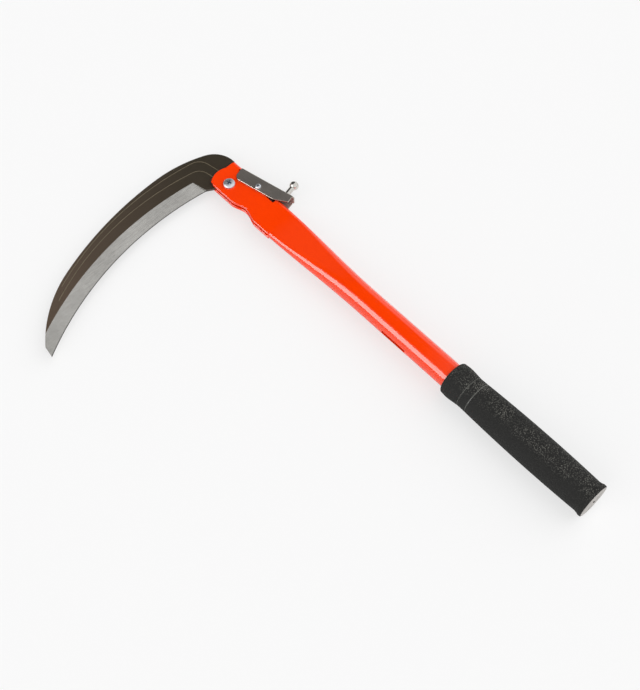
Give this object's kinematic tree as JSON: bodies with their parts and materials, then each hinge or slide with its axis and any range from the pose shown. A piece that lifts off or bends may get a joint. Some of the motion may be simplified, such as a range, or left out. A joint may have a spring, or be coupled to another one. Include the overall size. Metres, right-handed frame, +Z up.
{
  "type": "folding sickle",
  "caption": "Folding sickle with a curved lacquered blade, a flattened red tube handle, a sprung locking lever with a thumb knob, and a rubber grip.",
  "frame": {"origin": "centre of the grip's flat butt face", "axes": "+X along the handle from the butt to the blade's pivot, +Y to the side that the open blade points to, +Z up through the face that shows the screw heads and the ground bevel"},
  "size_m": [0.4415, 0.2504, 0.03],
  "materials": {
    "red_lacquer": "glossy orange-red lacquer on steel tube",
    "dark_lacquer": "thin brown-black lacquer, with a bare satin ground bevel",
    "zinc": "bright zinc plating",
    "lever_steel": "smooth grey-brown steel sheet",
    "spring_wire": "drawn spring wire",
    "nickel": "polished nickel plating",
    "grip_rubber": "pebbled matt dark rubber",
    "nylon": "nylon lock insert"
  },
  "bodies": {
    "handle": {"handle_tube": "red_lacquer", "pivot_screw": "zinc", "tang_washer_upper": "zinc", "tang_washer_lower": "zinc", "nut_washer": "zinc", "pivot_nut": "zinc", "pivot_nut_insert": "nylon", "latch_screw": "zinc", "latch_nut": "zinc", "latch_nut_insert": "nylon", "latch_spring": "spring_wire", "grip_sleeve": "grip_rubber"},
    "blade": {"blade": "dark_lacquer"},
    "latch": {"latch_lever": "lever_steel", "thumb_knob": "nickel"}
  },
  "joints": [
    {"name": "blade_fold", "type": "hinge", "parent": "handle", "child": "blade", "pos_m": [0.394, 0.0044, 0], "axis": [0, 0, 1], "range_deg": [0, 84]},
    {"name": "latch_rock", "type": "hinge", "parent": "handle", "child": "latch", "pos_m": [0.3743, -0.0104, 0], "axis": [0, 0, 1], "range_deg": [-8, 4], "stiffness_Nm_per_rad": 0.8, "springref_deg": 4, "deforming": ["latch_spring"]}
  ]
}
